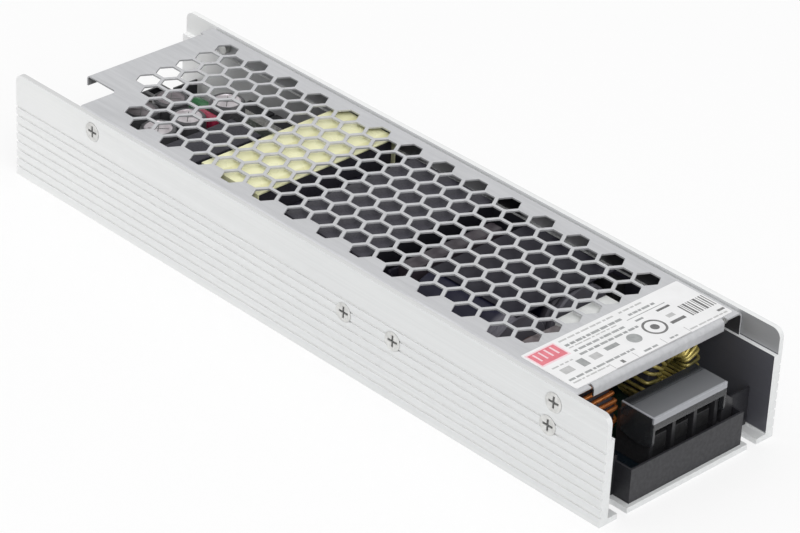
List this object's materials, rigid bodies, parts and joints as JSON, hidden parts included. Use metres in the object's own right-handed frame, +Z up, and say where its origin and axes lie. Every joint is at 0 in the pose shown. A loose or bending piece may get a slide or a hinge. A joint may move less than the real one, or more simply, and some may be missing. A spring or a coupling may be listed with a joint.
{
  "type": "open frame power supply",
  "caption": "Slim power supply in a ribbed aluminium channel with a perforated cover, barrier terminals at both ends and a hinged terminal cover.",
  "frame": {"origin": "centre of the base's underside, on the surface it stands on", "axes": "+X along the channel to the input terminals, -Y the wall with the device screws, +Z up through the perforated cover"},
  "size_m": [0.22, 0.062, 0.031],
  "materials": {
    "aluminium_body": "matte natural anodised",
    "cover_sheet": "satin sheet",
    "steel_screw": "zinc plated",
    "plated_brass": "tin plated",
    "label_film": "printed film",
    "dark_sheet": "satin sheet",
    "green_board": "solder mask",
    "black_plastic": "moulded",
    "smoked_clear": "clear smoked plastic",
    "ferrite": "sintered ferrite",
    "copper_enamel": "enamelled wire",
    "yellow_enamel": "enamelled wire",
    "grey_case": "moulded box",
    "blue_coating": "dipped",
    "brown_coating": "dipped",
    "white_case": "moulded",
    "dark_sleeve": "shrunk sleeve",
    "dark_tape": "wound tape",
    "navy_case": "moulded",
    "grey_dark_case": "moulded",
    "yellow_tape": "polyester tape",
    "grey_sleeve": "shrunk sleeve",
    "grey_tape": "wound tape",
    "taupe_coating": "dipped",
    "dusk_coating": "dipped",
    "green_coating": "dipped",
    "red_coating": "dipped",
    "green_lens": "tinted lens"
  },
  "bodies": {
    "supply": {"chassis": "aluminium_body", "top_cover": "cover_sheet", "cover_screws": "steel_screw", "device_screws": "steel_screw", "device_nuts": "steel_screw", "earth_screw": "steel_screw", "earth_lug": "plated_brass", "rating_label": "label_film", "insulation_tray": "dark_sheet", "circuit_board": "green_board", "board_standoffs": "plated_brass", "board_screws": "steel_screw", "input_terminal_block": "black_plastic", "input_terminal_plates": "plated_brass", "input_terminal_screws": "steel_screw", "output_terminal_block": "black_plastic", "output_terminal_plates": "plated_brass", "output_terminal_screws": "steel_screw", "line_choke_core": "ferrite", "line_choke_winding": "copper_enamel", "filter_choke_core": "ferrite", "filter_choke_winding": "yellow_enamel", "line_capacitor": "grey_case", "filter_capacitor": "taupe_coating", "surge_varistor": "blue_coating", "inrush_thermistor": "brown_coating", "line_fuse": "white_case", "fuse_clips": "steel_screw", "bridge_rectifier": "black_plastic", "bulk_capacitors": "dark_sleeve", "bulk_sheet": "dark_tape", "bypass_capacitor": "dusk_coating", "boost_choke_core": "ferrite", "boost_choke_winding": "dark_tape", "switch_transistors": "black_plastic", "gate_transformer": "navy_case", "resonant_capacitor": "grey_dark_case", "transformer_core": "ferrite", "transformer_winding": "dark_tape", "transformer_tape": "yellow_tape", "rectifier_bar": "aluminium_body", "output_rectifiers": "black_plastic", "output_capacitors": "grey_sleeve", "output_choke_core": "ferrite", "output_choke_winding": "grey_tape", "green_film_capacitor": "green_coating", "red_film_capacitor": "red_coating", "control_card": "green_board", "card_header": "black_plastic", "optocouplers": "white_case", "signal_header": "white_case", "header_pins": "plated_brass", "indicator_light": "green_lens"},
    "terminal_cover": {"terminal_cover": "smoked_clear"}
  },
  "joints": [
    {"name": "terminal_cover_hinge", "type": "hinge", "parent": "supply", "child": "terminal_cover", "pos_m": [0.0983, 0.0015, 0.0187], "axis": [0, -1, 0], "range_deg": [0, 60]}
  ]
}
